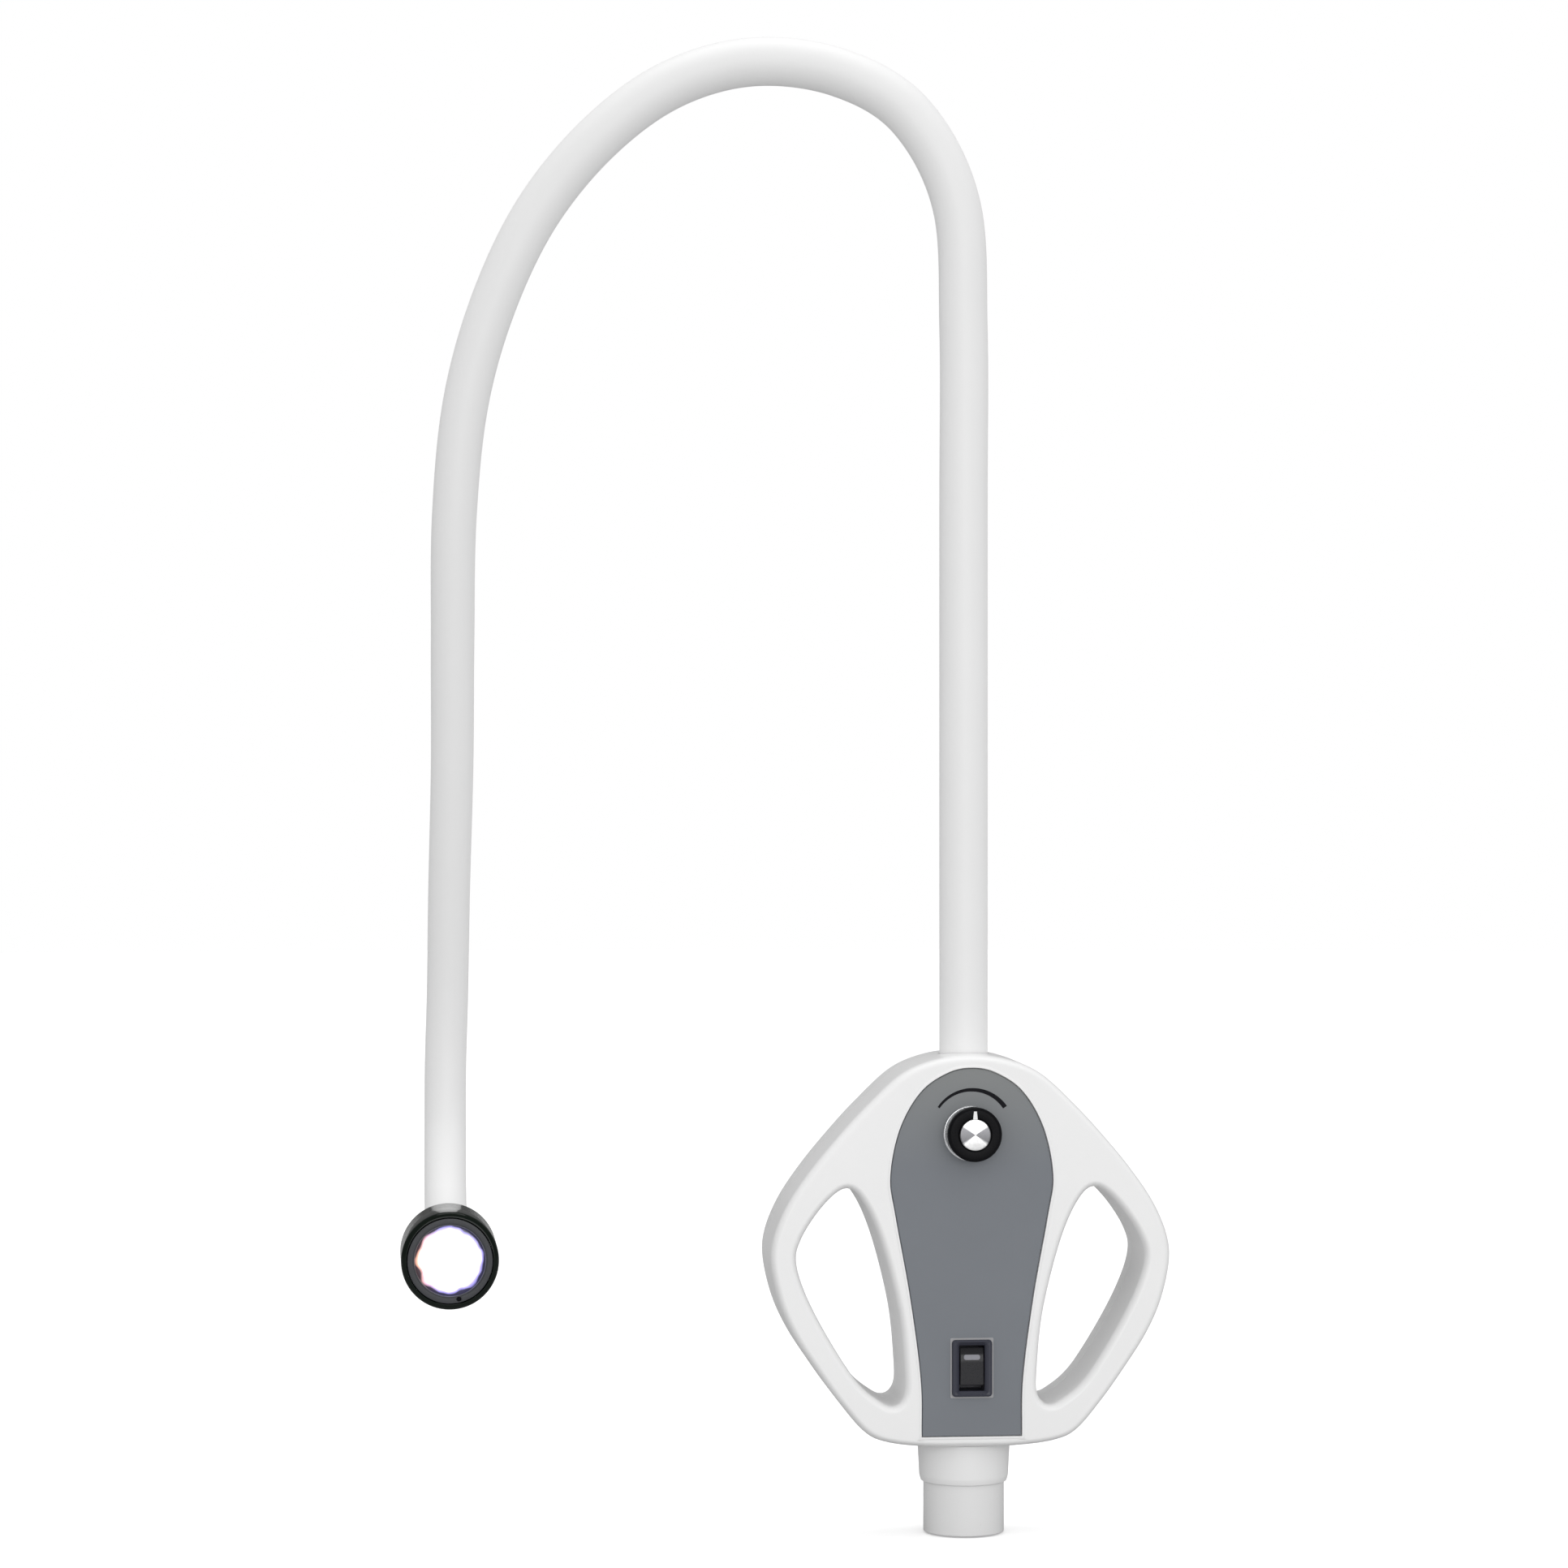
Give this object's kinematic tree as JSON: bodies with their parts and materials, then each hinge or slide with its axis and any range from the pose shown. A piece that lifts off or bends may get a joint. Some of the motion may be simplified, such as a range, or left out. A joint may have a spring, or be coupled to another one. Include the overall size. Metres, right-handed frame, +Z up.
{
  "type": "examination lamp",
  "caption": "Medical examination lamp: LED spotlight head on a long white gooseneck that rises from a control housing with finger grips, dimmer knob and rocker switch, on a short post.",
  "frame": {"origin": "centre of the post's lower end, on the flat face of the plug that closes it", "axes": "+Z up along the post and the neck's riser, control panel and lens face -Y, +X to the viewer's right"},
  "size_m": [0.2995, 0.1278, 0.588],
  "materials": {
    "white_paint": "satin white paint",
    "white_moulding": "satin white moulding",
    "white_sleeve": "smooth matte white vinyl",
    "panel_grey": "matte grey",
    "black_moulding": "satin black",
    "black_gloss": "gloss black anodised",
    "satin_black": "satin slate black",
    "steel": "plain",
    "aluminium": "spun",
    "brass": "plain",
    "rubber": "matte",
    "grey_nylon": "matte",
    "cable": "matte",
    "board": "solder resist",
    "emitter": "phosphor",
    "mirror": "polished",
    "lens": "clear"
  },
  "bodies": {
    "housing": {"post_tube": "white_paint", "post_collar": "white_moulding", "foot_plug": "grey_nylon", "post_plug": "aluminium", "post_bolt": "steel", "spine_bracket": "steel", "driver_board": "board", "driver_coil": "brass", "supply_lead": "cable", "lamp_lead": "cable", "housing_front": "white_moulding", "housing_rear": "white_moulding", "housing_screw_1": "steel", "housing_screw_2": "steel", "housing_screw_3": "steel", "housing_screw_4": "steel", "control_panel": "panel_grey", "dimmer_pot": "steel", "pot_nut": "brass", "knob_ring": "aluminium", "rocker_frame": "black_moulding", "neck_ferrule": "steel", "neck_nut": "steel", "neck_sleeve_1": "white_sleeve", "neck_core_1": "steel"},
    "knob": {"dimmer_knob": "black_moulding", "knob_disc": "aluminium", "pot_shaft": "steel"},
    "rocker": {"rocker": "black_moulding"},
    "neck_2": {"neck_sleeve_2": "white_sleeve", "neck_core_2": "steel"},
    "neck_3": {"neck_sleeve_3": "white_sleeve", "neck_core_3": "steel"},
    "neck_4": {"neck_sleeve_4": "white_sleeve", "neck_core_4": "steel"},
    "neck_5": {"neck_sleeve_5": "white_sleeve", "neck_core_5": "steel"},
    "neck_6": {"neck_sleeve_6": "white_sleeve", "neck_core_6": "steel"},
    "neck_7": {"neck_sleeve_7": "white_sleeve", "neck_core_7": "steel"},
    "neck_8": {"neck_sleeve_8": "white_sleeve", "neck_core_8": "steel"},
    "neck_9": {"neck_sleeve_9": "white_sleeve", "neck_core_9": "steel"},
    "neck_10": {"neck_sleeve_10": "white_sleeve", "neck_core_10": "steel"},
    "head": {"neck_sleeve_11": "white_sleeve", "neck_core_11": "steel", "neck_adaptor": "satin_black", "head_rear": "satin_black", "head_barrel": "black_gloss", "heat_sink": "aluminium", "led_board": "board", "led_emitter": "emitter", "reflector": "mirror", "lens": "lens", "lens_seal": "rubber", "front_ring": "satin_black", "head_lead": "cable"}
  },
  "joints": [
    {"name": "riser_sway", "type": "hinge", "parent": "housing", "child": "neck_2", "pos_m": [0, 0, 0.236], "axis": [0, 1, 0], "range_deg": [-5, 8]},
    {"name": "riser_lean", "type": "hinge", "parent": "neck_2", "child": "neck_3", "pos_m": [0, 0, 0.331], "axis": [1, 0, 0], "range_deg": [-8, 8]},
    {"name": "riser_sway_upper", "type": "hinge", "parent": "neck_3", "child": "neck_4", "pos_m": [0.0001, 0, 0.426], "axis": [0, 1, 0], "range_deg": [-5, 8]},
    {"name": "arch_bend", "type": "hinge", "parent": "neck_4", "child": "neck_5", "pos_m": [-0.0025, 0, 0.5209], "axis": [0, 1, 0], "range_deg": [-2, 11]},
    {"name": "arch_bend_middle", "type": "hinge", "parent": "neck_5", "child": "neck_6", "pos_m": [-0.059, 0.0036, 0.5769], "axis": [0, 1, 0], "range_deg": [-2, 11]},
    {"name": "arch_bend_outer", "type": "hinge", "parent": "neck_6", "child": "neck_7", "pos_m": [-0.1374, 0.0111, 0.5541], "axis": [0, 1, 0], "range_deg": [-2, 11]},
    {"name": "drop_swing", "type": "hinge", "parent": "neck_7", "child": "neck_8", "pos_m": [-0.1888, 0.0241, 0.471], "axis": [1, 0, 0], "range_deg": [-8, 8]},
    {"name": "drop_sway", "type": "hinge", "parent": "neck_8", "child": "neck_9", "pos_m": [-0.2, 0.0414, 0.3684], "axis": [0, 1, 0], "range_deg": [-6, 10]},
    {"name": "drop_swing_lower", "type": "hinge", "parent": "neck_9", "child": "neck_10", "pos_m": [-0.2007, 0.063, 0.2657], "axis": [1, 0, 0], "range_deg": [-8, 8]},
    {"name": "head_tilt", "type": "hinge", "parent": "neck_10", "child": "head", "pos_m": [-0.2024, 0.0736, 0.1667], "axis": [1, 0, 0], "range_deg": [-15, 20]},
    {"name": "knob_turn", "type": "hinge", "parent": "housing", "child": "knob", "pos_m": [0, -0.0292, 0.1584], "axis": [0, -1, 0], "range_deg": [-140, 140]},
    {"name": "rocker_tilt", "type": "hinge", "parent": "housing", "child": "rocker", "pos_m": [0, -0.0196, 0.067], "axis": [1, 0, 0], "range_deg": [0, 20]}
  ],
  "couplings": [
    {"joint": "riser_sway_upper", "follows": "riser_sway", "ratio": 1},
    {"joint": "arch_bend_middle", "follows": "arch_bend", "ratio": 1},
    {"joint": "arch_bend_outer", "follows": "arch_bend", "ratio": 1},
    {"joint": "drop_swing_lower", "follows": "drop_swing", "ratio": 1}
  ]
}
